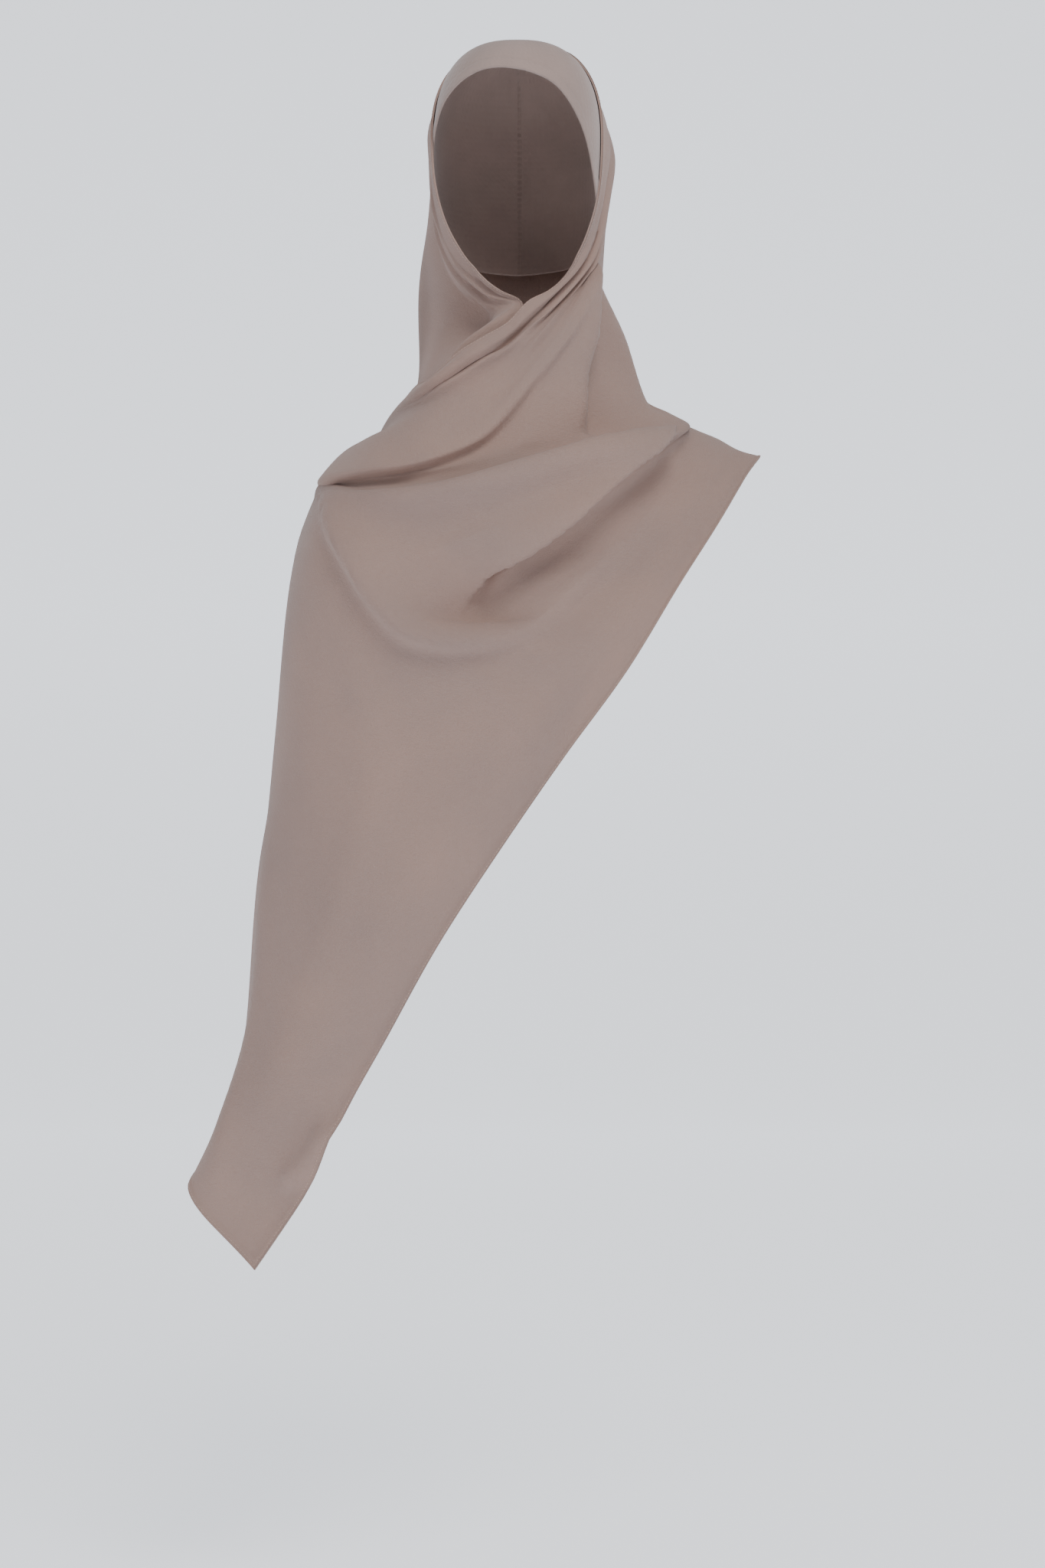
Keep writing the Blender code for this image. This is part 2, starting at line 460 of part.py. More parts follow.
def cap_surface(turns, rings):
    """Points on the head under the cap, indexed [turn, ring], ring 0 next to the crown."""
    azimuths = np.linspace(-math.pi, math.pi, turns, endpoint=False)
    shares = np.arange(1, rings + 1) / rings
    polar = np.array([cap_edge_angle(azimuth) * shares for azimuth in azimuths])
    direction = cap_direction(np.repeat(azimuths[:, None], rings, axis=1), polar)
    return direction / head_level(direction)[..., None], direction


def build_undercap():
    """The jersey cap: a dome open at the face and the neck, with a doubled band at its edge."""
    surface, direction = cap_surface(CAP_TURNS, CAP_RINGS)
    wall = np.full(surface.shape[:2], CAP_THICKNESS)
    wall[:, -2:] = CAP_BAND_THICKNESS
    centre = head_centre()
    inner = (surface + centre).reshape(-1, 3)
    outer = (surface + direction * wall[..., None] + centre).reshape(-1, 3)
    crown = np.array([[0.0, 0.0, 0.0], [0.0, 0.0, CAP_THICKNESS]])
    count = CAP_TURNS * CAP_RINGS
    inner_crown = 2 * count
    outer_crown = inner_crown + 1
    faces = []
    for turn in range(CAP_TURNS):
        here = turn * CAP_RINGS
        there = (turn + 1) % CAP_TURNS * CAP_RINGS
        faces.append((inner_crown, there, here))
        faces.append((outer_crown, here + count, there + count))
        for ring in range(CAP_RINGS - 1):
            a, b = here + ring, there + ring
            faces.append((a, b, b + 1, a + 1))
            faces.append((a + count + 1, b + count + 1, b + count, a + count))
        last, following = here + CAP_RINGS - 1, there + CAP_RINGS - 1
        faces.append((last, following, following + count, last + count))
    return add_piece("undercap", np.vstack([inner, outer, crown]), faces,
                     material("taupe_jersey", CAP_COLOUR, 0.9))


def on_sheet(values, along, across):
    """What the part's own grid has at one spot of the flat cloth."""
    columns = np.linspace(0.0, 1.0, ALONG_STEPS + 1)
    line = np.array([[np.interp(across, ACROSS_LINES, column[:, axis]) for axis in range(3)] for column in values])
    return np.array([np.interp(along, columns, line[:, axis]) for axis in range(3)])


def clasp_seat():
    """Centre and axis of the clasp, on the outer face of the under layer."""
    points, normals, _ = scarf_sheet()
    axis = unit(on_sheet(normals, *CLASP_PLACE))
    lift = HEM_THICKNESS / 2 + PIECE_GAP + CLASP_THICKNESS / 2
    return on_sheet(points, *CLASP_PLACE) + axis * lift, axis


def build_clasp():
    """The plain round clasp under the crossing layers."""
    centre, axis = clasp_seat()
    side = unit(np.cross(axis, (0.0, 0.0, 1.0)))
    up = np.cross(side, axis)
    vertices = []
    for turn in range(CLASP_SIDES):
        angle = 2.0 * math.pi * turn / CLASP_SIDES
        spoke = side * math.cos(angle) + up * math.sin(angle)
        for reach, lift in CLASP_SECTION:
            vertices.append(centre + spoke * reach * CLASP_DIAMETER / 2 + axis * lift * CLASP_THICKNESS / 2)
    rings = len(CLASP_SECTION)
    top = len(vertices)
    vertices += [centre + axis * CLASP_THICKNESS / 2, centre - axis * CLASP_THICKNESS / 2]
    faces = []
    for turn in range(CLASP_SIDES):
        here = turn * rings
        there = (turn + 1) % CLASP_SIDES * rings
        faces.append((top, here, there))
        faces.append((top + 1, there + rings - 1, here + rings - 1))
        for ring in range(rings - 1):
            faces.append((here + ring, here + ring + 1, there + ring + 1, there + ring))
    return add_piece("chin_clasp", vertices, faces, material("dull_metal", CLASP_COLOUR, 0.4))


def main():
    """Build every piece."""
    clear_scene()
    build_scarf()
    build_undercap()
    build_clasp()


main()
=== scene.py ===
"""Looks of the chiffon hijab: draped scarf with its stitched hem, jersey cap and the clasp under the chin.

Metres, Z up, the front towards -Y, the origin at the crown of the head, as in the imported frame. The drape
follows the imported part's guide lines on a finer grid, with its small pleats, its hem and its stitches.
"""
import json
import math

import bpy
import numpy as np
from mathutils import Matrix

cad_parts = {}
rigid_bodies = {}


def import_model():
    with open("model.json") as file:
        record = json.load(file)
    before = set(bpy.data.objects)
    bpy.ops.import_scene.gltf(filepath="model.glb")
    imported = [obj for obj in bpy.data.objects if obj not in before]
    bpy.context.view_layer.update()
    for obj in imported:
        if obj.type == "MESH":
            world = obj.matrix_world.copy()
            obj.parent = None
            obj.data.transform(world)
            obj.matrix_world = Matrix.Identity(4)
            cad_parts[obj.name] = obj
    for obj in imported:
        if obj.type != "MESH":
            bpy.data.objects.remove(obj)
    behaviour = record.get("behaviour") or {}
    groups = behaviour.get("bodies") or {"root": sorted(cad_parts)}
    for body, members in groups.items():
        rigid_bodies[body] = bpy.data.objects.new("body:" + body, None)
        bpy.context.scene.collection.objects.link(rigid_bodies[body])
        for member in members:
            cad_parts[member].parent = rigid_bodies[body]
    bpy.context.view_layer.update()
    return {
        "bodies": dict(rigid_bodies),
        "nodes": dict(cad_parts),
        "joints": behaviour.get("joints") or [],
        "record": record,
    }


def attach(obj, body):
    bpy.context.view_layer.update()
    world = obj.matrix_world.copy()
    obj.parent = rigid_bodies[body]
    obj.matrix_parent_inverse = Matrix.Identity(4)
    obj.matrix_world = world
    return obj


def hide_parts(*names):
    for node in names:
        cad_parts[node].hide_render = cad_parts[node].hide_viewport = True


# The head that the hijab is worn on; it is not built, the cap and the scarf keep clear of it.
HEAD_HALF_WIDTH = 0.078
HEAD_HALF_DEPTH = 0.098
HEAD_CROWN_RISE = 0.100
HEAD_CHIN_DROP = 0.155
HEAD_SQUARENESS = 2.6

# The drape: how far the worn scarf reaches to the side, to the front or back, and down from crown to chin.
DRAPE_HALF_SPAN = 0.200
DRAPE_HALF_DEPTH = 0.100
DRAPE_HEAD_DROP = 0.250
DRAPE_SIDE_SHIFT = 0.005
DRAPE_RISE = 0.0055

# Cloth of the scarf: the flat cloth's two sides, its thickness and that of its turned hem.
SCARF_LENGTH = 1.62
SCARF_WIDTH = 0.62
SCARF_THICKNESS = 0.0008
HEM_THICKNESS = 0.0019
HEM_WIDTH = 0.0048
FOLD_RISE = 0.010
CLOTH_PROPORTION = 2.7

# Extra grid lines at the hem, and how far in the other lines begin, in hem widths.
HEM_LINES = (0.0, 0.5, 1.0, 1.15)
HEM_CLEAR = 1.6

# Stitches along the hem.
STITCH_PITCH = 0.0032
STITCH_LENGTH = 0.0021
STITCH_WIDTH = 0.0007

# Jersey cap between the head and the scarf, with a doubled band at its edge.
CAP_THICKNESS = 0.0010
CAP_BAND_THICKNESS = 0.0018
CAP_BAND_SHARE = 0.90
CAP_SEAM_SHARE = 0.8
CAP_LIFT = 0.0002
SCARF_SLACK = 0.0003

# Studio: a sweep that is floor and back wall in one, and the camera at the photograph's height.
SWEEP_FRONT = -6.0
SWEEP_BACK = 4.6
SWEEP_HALF_WIDTH = 6.0
SWEEP_HEIGHT = 4.6
SWEEP_BEND = 1.2
SWEEP_STEPS = 16
FLOOR_HEIGHT = -1.46
CAMERA_PLACE = (0.005, -2.6, -0.695)
CAMERA_SENSOR = 36.0
PHOTO_HEIGHT = 2048
FOCAL_PIXELS = 3596

# Each guide is one line along the scarf, at a share of its width from the face edge (0) to the hem (1).
# Rows: along (share of the scarf's length), side (of DRAPE_HALF_SPAN), depth (of DRAPE_HALF_DEPTH) and
# height (of DRAPE_HEAD_DROP). Along 0 is the short end under the chin, 0.13 the chin, 0.32 the crown, 0.50
# the chin again, 0.62 the shoulder and 1 the long end.
GUIDES = (
    ("face edge", 0.0, (
        (0.000, -0.05, -1.02, -2.00), (0.067, -0.10, -0.95, -1.50), (0.110, -0.05, -0.845, -1.17),
        (0.128, 0.00, -0.765, -1.036), (0.141, -0.095, -0.73, -0.993), (0.154, -0.16, -0.72, -0.957),
        (0.167, -0.22, -0.68, -0.904), (0.190, -0.295, -0.62, -0.789), (0.210, -0.355, -0.52, -0.668),
        (0.233, -0.412, -0.35, -0.485), (0.256, -0.418, -0.20, -0.294), (0.279, -0.355, -0.05, -0.123),
        (0.315, -0.02, 0.20, 0.012), (0.349, 0.222, -0.15, -0.076), (0.374, 0.310, -0.22, -0.215),
        (0.397, 0.344, -0.30, -0.389), (0.421, 0.336, -0.38, -0.545), (0.446, 0.295, -0.52, -0.722),
        (0.469, 0.224, -0.62, -0.889), (0.490, 0.114, -0.76, -0.992), (0.503, 0.026, -0.84, -1.034),
        (0.518, -0.057, -0.895, -1.108), (0.538, -0.17, -1.04, -1.176), (0.559, -0.285, -1.04, -1.234),
        (0.579, -0.415, -0.85, -1.319), (0.600, -0.49, -0.45, -1.325), (0.621, -0.59, 0.10, -1.385),
        (0.651, -0.73, 0.76, -1.53), (0.718, -0.85, 1.06, -2.00), (0.821, -0.88, 0.90, -2.76),
        (1.000, -0.90, 0.80, -3.66))),
    ("head side", 0.08, (
        (0.000, -0.27, -0.98, -2.04), (0.056, -0.36, -0.88, -1.60), (0.090, -0.32, -0.87, -1.25),
        (0.105, -0.25, -0.865, -1.175), (0.118, -0.15, -0.83, -1.115), (0.128, -0.07, -0.73, -1.057),
        (0.141, -0.16, -0.62, -1.018), (0.154, -0.22, -0.56, -0.974), (0.167, -0.28, -0.50, -0.92),
        (0.190, -0.355, -0.40, -0.803), (0.210, -0.41, -0.28, -0.668), (0.233, -0.44, -0.05, -0.458),
        (0.256, -0.44, 0.15, -0.30), (0.279, -0.34, 0.40, -0.13), (0.315, 0.00, 0.60, -0.03),
        (0.349, 0.26, 0.35, -0.09), (0.374, 0.37, 0.15, -0.23), (0.397, 0.42, 0.10, -0.39),
        (0.421, 0.40, -0.06, -0.54), (0.446, 0.355, -0.25, -0.714), (0.469, 0.286, -0.45, -0.864),
        (0.490, 0.168, -0.68, -0.991), (0.503, 0.065, -0.82, -1.081), (0.518, -0.044, -0.91, -1.171),
        (0.538, -0.148, -1.08, -1.239), (0.559, -0.258, -1.10, -1.292), (0.579, -0.39, -1.02, -1.352),
        (0.600, -0.51, -0.70, -1.395), (0.621, -0.61, -0.20, -1.418), (0.656, -0.76, 0.60, -1.58),
        (0.718, -0.90, 1.04, -2.00), (0.821, -0.94, 1.22, -2.76), (1.000, -0.98, 1.18, -3.67))),
    ("jaw", 0.16, (
        (0.000, -0.42, -0.93, -2.08), (0.062, -0.47, -0.80, -1.64), (0.092, -0.41, -0.70, -1.42),
        (0.118, -0.33, -0.55, -1.24), (0.138, -0.25, -0.40, -1.096), (0.154, -0.30, -0.30, -1.004),
        (0.174, -0.36, -0.20, -0.911), (0.200, -0.41, -0.08, -0.758), (0.231, -0.44, 0.15, -0.50),
        (0.277, -0.33, 0.60, -0.24), (0.315, 0.00, 0.85, -0.16), (0.354, 0.30, 0.60, -0.24),
        (0.395, 0.41, 0.35, -0.46), (0.426, 0.385, 0.12, -0.66), (0.449, 0.35, -0.20, -0.81),
        (0.472, 0.30, -0.38, -0.898), (0.495, 0.18, -0.65, -1.037), (0.518, 0.06, -0.88, -1.156),
        (0.549, -0.10, -1.00, -1.284), (0.579, -0.25, -1.05, -1.381), (0.610, -0.43, -1.00, -1.45),
        (0.641, -0.59, -0.75, -1.488), (0.672, -0.74, -0.30, -1.521), (0.703, -0.82, 0.30, -1.56),
        (0.749, -0.91, 0.80, -1.82), (0.831, -1.00, 1.08, -2.48), (1.000, -1.08, 1.02, -3.68))),
    ("throat", 0.25, (
        (0.000, -0.55, -0.85, -2.12), (0.067, -0.59, -0.65, -1.76), (0.113, -0.48, -0.40, -1.43),
        (0.138, -0.43, -0.12, -1.22), (0.169, -0.43, 0.20, -1.042), (0.205, -0.465, 0.40, -0.764),
        (0.236, -0.44, 0.55, -0.60), (0.277, -0.30, 0.90, -0.38), (0.315, 0.00, 1.02, -0.40),
        (0.359, 0.30, 0.85, -0.44), (0.400, 0.40, 0.50, -0.64), (0.431, 0.35, 0.22, -0.85),
        (0.456, 0.345, -0.12, -0.862), (0.479, 0.32, -0.40, -0.962), (0.500, 0.25, -0.62, -1.091),
        (0.526, 0.13, -0.86, -1.247), (0.554, -0.04, -1.05, -1.425), (0.579, -0.19, -1.18, -1.554),
        (0.610, -0.40, -1.25, -1.635), (0.641, -0.56, -1.18, -1.662), (0.672, -0.77, -0.85, -1.672),
        (0.697, -0.94, -0.35, -1.666), (0.723, -0.95, 0.20, -1.70), (0.769, -1.01, 0.68, -1.94),
        (0.846, -1.06, 1.16, -2.52), (1.000, -1.14, 1.20, -3.70))),
    ("neck", 0.335, (
        (0.000, -0.70, -0.70, -2.14), (0.072, -0.71, -0.45, -1.78), (0.123, -0.55, -0.10, -1.46),
        (0.169, -0.495, 0.30, -1.25), (0.231, -0.475, 0.64, -0.80), (0.315, 0.00, 1.06, -0.70),
        (0.390, 0.38, 0.70, -0.76), (0.431, 0.375, 0.35, -0.94), (0.456, 0.41, 0.12, -1.004),
        (0.479, 0.50, 0.00, -1.148), (0.505, 0.515, -0.15, -1.295), (0.528, 0.44, -0.55, -1.446),
        (0.559, 0.23, -0.98, -1.533), (0.590, -0.04, -1.22, -1.606), (0.626, -0.28, -1.30, -1.67),
        (0.662, -0.53, -1.20, -1.71), (0.692, -0.78, -0.85, -1.711), (0.723, -0.95, -0.35, -1.692),
        (0.754, -0.99, 0.20, -1.80), (0.800, -1.05, 0.60, -2.12), (0.872, -1.12, 0.90, -2.68),
        (1.000, -1.22, 1.00, -3.72))),
    ("big roll", 0.42, (
        (0.000, -0.78, -0.50, -2.14), (0.077, -0.77, -0.27, -1.82), (0.128, -0.60, 0.03, -1.53),
        (0.174, -0.495, 0.43, -1.28), (0.231, -0.465, 0.75, -1.02), (0.315, 0.00, 1.08, -1.00),
        (0.400, 0.37, 0.75, -1.00), (0.441, 0.42, 0.40, -1.12), (0.477, 0.465, 0.20, -1.33),
        (0.508, 0.68, -0.08, -1.40), (0.533, 0.72, -0.45, -1.47), (0.574, 0.43, -1.05, -1.559),
        (0.621, 0.03, -1.38, -1.649), (0.662, -0.37, -1.42, -1.736), (0.697, -0.68, -1.15, -1.754),
        (0.728, -0.91, -0.65, -1.725), (0.759, -1.03, 0.00, -1.82), (0.810, -1.10, 0.40, -2.18),
        (0.892, -1.18, 0.92, -2.80), (1.000, -1.26, 1.10, -3.74))),
    ("chest", 0.56, (
        (0.000, -0.88, -0.12, -2.18), (0.077, -0.86, 0.05, -1.90), (0.154, -0.66, 0.42, -1.56),
        (0.231, -0.45, 1.00, -1.44), (0.315, 0.00, 1.20, -1.42), (0.400, 0.37, 0.95, -1.30),
        (0.462, 0.59, 0.35, -1.42), (0.503, 0.73, 0.05, -1.43), (0.536, 0.75, -0.45, -1.50),
        (0.579, 0.41, -1.15, -1.70), (0.626, 0.03, -1.40, -1.861), (0.672, -0.37, -1.40, -1.929),
        (0.708, -0.70, -1.25, -1.924), (0.738, -0.91, -1.00, -1.971), (0.779, -1.06, -0.60, -2.17),
        (0.831, -1.16, -0.10, -2.64), (0.897, -1.25, 0.45, -3.16), (1.000, -1.31, 0.62, -3.94))),
    ("lower roll", 0.72, (
        (0.000, -0.90, 0.25, -2.28), (0.077, -0.88, 0.38, -2.04), (0.154, -0.71, 0.74, -1.82),
        (0.231, -0.47, 1.20, -1.80), (0.315, 0.00, 1.35, -1.80), (0.400, 0.40, 1.15, -1.62),
        (0.462, 0.68, 0.60, -1.47), (0.503, 0.81, 0.10, -1.46), (0.538, 0.79, -0.35, -1.521),
        (0.579, 0.41, -1.00, -1.804), (0.626, 0.06, -1.15, -2.03), (0.667, -0.20, -1.20, -2.21),
        (0.708, -0.48, -1.30, -2.23), (0.759, -0.70, -1.15, -2.487), (0.821, -0.97, -0.80, -2.847),
        (0.872, -1.18, -0.35, -3.10), (0.933, -1.31, 0.20, -3.70), (1.000, -1.38, 0.45, -4.20))),
    ("front panel", 0.86, (
        (0.000, -0.84, 0.55, -2.36), (0.077, -0.85, 0.68, -2.22), (0.154, -0.70, 0.98, -2.12),
        (0.231, -0.47, 1.40, -2.16), (0.315, 0.00, 1.48, -2.14), (0.400, 0.45, 1.35, -1.90),
        (0.462, 0.77, 0.90, -1.62), (0.503, 0.95, 0.40, -1.50), (0.528, 0.97, 0.00, -1.532),
        (0.559, 0.88, -0.50, -1.656), (0.600, 0.69, -0.95, -1.90), (0.656, 0.40, -1.30, -2.187),
        (0.718, 0.06, -1.35, -2.476), (0.769, -0.28, -1.30, -2.764), (0.821, -0.63, -1.15, -3.15),
        (0.882, -0.97, -0.90, -3.60), (0.938, -1.28, -0.55, -3.963), (1.000, -1.57, -0.10, -4.326))),
    ("lower hem", 1.0, (
        (0.000, -0.76, 0.80, -2.40), (0.077, -0.78, 0.92, -2.34), (0.154, -0.68, 1.12, -2.36),
        (0.231, -0.45, 1.50, -2.42), (0.315, 0.00, 1.55, -2.40), (0.400, 0.47, 1.45, -2.14),
        (0.462, 0.82, 1.10, -1.82), (0.503, 1.04, 0.65, -1.62), (0.528, 1.13, 0.20, -1.556),
        (0.556, 1.05, -0.30, -1.647), (0.592, 0.89, -0.75, -1.858), (0.626, 0.72, -1.05, -2.069),
        (0.674, 0.47, -1.25, -2.395), (0.723, 0.19, -1.25, -2.703), (0.774, -0.09, -1.20, -3.028),
        (0.828, -0.38, -1.05, -3.385), (0.881, -0.63, -0.90, -3.746), (0.918, -0.81, -0.80, -4.007),
        (0.949, -0.93, -0.70, -4.229), (0.971, -1.05, -0.60, -4.379), (1.000, -1.24, -0.50, -4.603))),
)

# Folds are ridges (rise above 0) and creases (below 0) along a line drawn on the flat cloth.
# Rows: name, rise and lean (shares of FOLD_RISE), half width on the face-edge side and on the hem side
# (shares of the scarf's width), and the line as (along, across) shares.
FOLDS = (
    ("front strip", 0.4, 0.2, 0.030, 0.022, ((0.34, 0.035), (0.42, 0.035), (0.50, 0.038), (0.63, 0.045))),
    ("strip crease", -0.45, 0.0, 0.014, 0.010, ((0.37, 0.090), (0.46, 0.088), (0.54, 0.086), (0.62, 0.090))),
    ("jaw pleat", 0.35, 0.1, 0.006, 0.020, ((0.36, 0.110), (0.42, 0.108), (0.47, 0.112), (0.55, 0.12))),
    ("jaw pleat crease", -0.25, 0.0, 0.012, 0.008, ((0.38, 0.145), (0.46, 0.142), (0.53, 0.145))),
    ("second jaw pleat", 0.30, 0.1, 0.006, 0.024,
        ((0.39, 0.172), (0.45, 0.165), (0.50, 0.170), (0.55, 0.19))),
    ("second jaw crease", -0.30, 0.0, 0.016, 0.008,
        ((0.42, 0.215), (0.47, 0.213), (0.53, 0.22), (0.58, 0.225))),
    ("panel edge", 0.25, 0.0, 0.005, 0.030, ((0.47, 0.236), (0.50, 0.244), (0.54, 0.258), (0.60, 0.345))),
    ("throat fold", 0.7, 0.2, 0.032, 0.008,
        ((0.46, 0.242), (0.518, 0.243), (0.574, 0.250), (0.636, 0.254), (0.677, 0.262), (0.722, 0.355))),
    ("throat crease", -0.25, 0.0, 0.007, 0.030,
        ((0.55, 0.262), (0.60, 0.266), (0.636, 0.268), (0.677, 0.278))),
    ("neck fold", 0.9, 0.1, 0.026, 0.007, ((0.448, 0.225), (0.495, 0.270), (0.523, 0.285), (0.555, 0.335))),
    ("neck crease", -1.2, 0.0, 0.007, 0.030,
        ((0.448, 0.240), (0.495, 0.285), (0.524, 0.301), (0.560, 0.355))),
    ("neck hollow", -0.6, 0.0, 0.022, 0.022,
        ((0.460, 0.380), (0.480, 0.382), (0.500, 0.385), (0.515, 0.385))),
    ("crease behind the roll", -0.6, 0.0, 0.045, 0.022, ((0.56, 0.380), (0.61, 0.388), (0.66, 0.390))),
    ("big roll", 1.3, -0.3, 0.024, 0.050,
        ((0.555, 0.425), (0.60, 0.436), (0.66, 0.444), (0.70, 0.446), (0.725, 0.432))),
    ("crease under the roll", -0.4, 0.0, 0.030, 0.040, ((0.58, 0.50), (0.63, 0.50), (0.68, 0.49))),
    ("lower roll", 1.6, 0.9, 0.055, 0.011,
        ((0.545, 0.435), (0.562, 0.478), (0.590, 0.555), (0.618, 0.600), (0.643, 0.624), (0.660, 0.668))),
    ("crease below the lower roll", -0.9, 0.0, 0.007, 0.010,
        ((0.550, 0.470), (0.566, 0.515), (0.592, 0.586), (0.620, 0.627), (0.645, 0.652), (0.664, 0.712))),
    ("dent", -0.3, 0.0, 0.028, 0.028, ((0.650, 0.68), (0.658, 0.71), (0.664, 0.74), (0.666, 0.77))),
    ("cowl", 1.4, 0.2, 0.060, 0.014,
        ((0.733, 0.44), (0.723, 0.55), (0.717, 0.66), (0.714, 0.74),
         (0.695, 0.785), (0.650, 0.79), (0.59, 0.80))),
    ("tension crease", 0.4, 0.0, 0.014, 0.014, ((0.716, 0.78), (0.73, 0.85), (0.732, 0.92), (0.73, 0.98))),
    ("small wrinkle", 0.25, 0.0, 0.010, 0.014, ((0.69, 0.60), (0.665, 0.565), (0.64, 0.54))),
    ("left jaw crease", -0.35, 0.0, 0.008, 0.008, ((0.128, 0.034), (0.175, 0.036), (0.23, 0.05))),
    ("left jaw pleat", 0.35, 0.0, 0.008, 0.008, ((0.128, 0.055), (0.175, 0.060), (0.23, 0.075))),
    ("second left crease", -0.4, 0.0, 0.008, 0.008, ((0.128, 0.076), (0.175, 0.084), (0.225, 0.10))),
    ("second left pleat", 0.3, 0.0, 0.008, 0.010, ((0.130, 0.095), (0.175, 0.105), (0.215, 0.12))),
    ("left recess", -1.2, 0.0, 0.014, 0.050, ((0.115, 0.125), (0.150, 0.130), (0.185, 0.14), (0.22, 0.15))),
    ("arm fold", 0.55, 0.0, 0.030, 0.030, ((0.735, 0.62), (0.77, 0.74), (0.82, 0.81), (0.90, 0.85))),
    ("wrist fold", 0.6, 0.0, 0.030, 0.022, ((0.86, 0.70), (0.91, 0.78), (0.96, 0.86), (1.0, 0.93))),
    ("hem flip", 1.0, -0.6, 0.016, 0.016, ((0.925, 0.99), (0.945, 0.985), (0.965, 0.97))),
)

# Hanging folds spread like a fan over the back, between the along shares at the face edge and at the hem.
# Rows: name, along start and end at the face edge, along start and end at the hem, across share where they
# begin and where they are full, how many, rise (share of FOLD_RISE).
HANGING_FOLDS = (
    ("back of the head", 0.240, 0.400, 0.195, 0.470, 0.34, 0.80, 4, 1.5),
)

# Where the cap ends: azimuth from the front (degrees, plus to the wearer's left) and height as a share of
# HEAD_CHIN_DROP below the crown.
CAP_EDGE = (
    (-180, -1.28), (-140, -1.25), (-110, -1.12), (-96, -0.98), (-84, -0.82), (-73, -0.63), (-59, -0.53),
    (-47, -0.42), (-31, -0.315), (-21, -0.272), (-10, -0.262), (4, -0.282), (17, -0.335), (24, -0.39),
    (33, -0.52), (42, -0.665), (50, -0.85), (62, -1.02), (90, -1.15), (140, -1.25), (180, -1.28),
)

# Over the cap the face edge lies snug: between these shares along, fading out at this share across, and
# fading in over this share of its length at both ends.
SNUG_ALONG = (0.215, 0.435)
SNUG_ACROSS = 0.08
SNUG_RAMP = 0.06

# A fold's line is read in this many stretches, and the fold fades in and out over this share of it.
FOLD_STRETCHES = 40
FOLD_FADE = 0.22

# Where the fine grid's lines lie. Rows: share at the start, share at the end, how many steps between them.
ALONG_SPANS = ((0.0, 0.12, 24), (0.12, 0.30, 64), (0.30, 0.58, 104), (0.58, 0.75, 50), (0.75, 1.0, 48))
ACROSS_SPANS = ((0.0, 0.27, 58), (0.27, 0.50, 36), (0.50, 0.84, 40), (0.84, 1.0, 16))
CAP_TURNS = 144
CAP_RINGS = 60

# Colours, linear.
SCARF_COLOUR = (0.40, 0.270, 0.226, 1.0)
SCARF_SHADE = (0.348, 0.246, 0.213, 1.0)
CAP_COLOUR = (0.395, 0.295, 0.262, 1.0)
CAP_SHADE = (0.33, 0.25, 0.222, 1.0)
THREAD_COLOUR = (0.56, 0.39, 0.31, 1.0)
THREAD_SHADE = (0.46, 0.31, 0.25, 1.0)
METAL_COLOUR = (0.55, 0.53, 0.50, 1.0)
METAL_SHADE = (0.40, 0.385, 0.36, 1.0)
SWEEP_COLOUR = (0.80, 0.82, 0.86, 1.0)
SWEEP_SHADE = (0.78, 0.80, 0.83, 1.0)
# Strength of the sweep's glow in its own colour: painted light that stands in for light falling on the floor
# and wall.
SWEEP_GLOW = 1.0
WORLD_COLOUR = (0.86, 0.90, 0.96, 1.0)
WORLD_STRENGTH = 0.45

# Area lights. Rows: name, place, side of the square, power in watts, colour. All look at one spot.
LIGHTS = (
    ("key", (0.7, -1.9, 2.1), 1.4, 60.0, (1.0, 0.985, 0.97)),
    ("fill", (-2.2, -2.4, -0.1), 1.8, 5.0, (0.95, 0.97, 1.0)),
)
LIGHT_TARGET = (0.0, 0.0, -0.5)

# How fast the cloths' wave patterns turn, in radians per metre, and what one unit of the wave node's
# scale makes.
CHIFFON_PHASE = 1300.0
JERSEY_PHASE = 1100.0
WAVE_NODE_PHASE = 20.0


def spline(knots, values, at):
    """Smooth curve through `values` at uneven `knots`, read at `at`."""
    knots = np.asarray(knots, float)
    values = np.asarray(values, float)
    shape = (-1,) + (1,) * (values.ndim - 1)
    span = np.diff(knots).reshape(shape)
    slope = np.diff(values, axis=0) / span
    tangent = np.empty_like(values)
    tangent[0] = slope[0]
    tangent[-1] = slope[-1]
    tangent[1:-1] = (slope[1:] * span[:-1] + slope[:-1] * span[1:]) / (span[:-1] + span[1:])
    index = np.clip(np.searchsorted(knots, at) - 1, 0, len(knots) - 2)
    u = ((at - knots[index]).reshape(shape)) / span[index]
    rise = span[index] * tangent[index]
    fall = span[index] * tangent[index + 1]
    start = (2 * u ** 3 - 3 * u ** 2 + 1) * values[index] + (u ** 3 - 2 * u ** 2 + u) * rise
    end = (3 * u ** 2 - 2 * u ** 3) * values[index + 1] + (u ** 3 - u ** 2) * fall
    return start + end


def ease(share):
    """Zero at 0, one at 1, flat at both."""
    share = np.clip(share, 0.0, 1.0)
    return share * share * (3.0 - 2.0 * share)


def unit(vectors):
    """Vectors scaled to length one."""
    return vectors / np.maximum(np.linalg.norm(vectors, axis=-1, keepdims=True), 1e-12)


def head_centre():
    """Middle of the head that the hijab sits on."""
    return np.array([0.0, 0.0, -HEAD_CROWN_RISE])


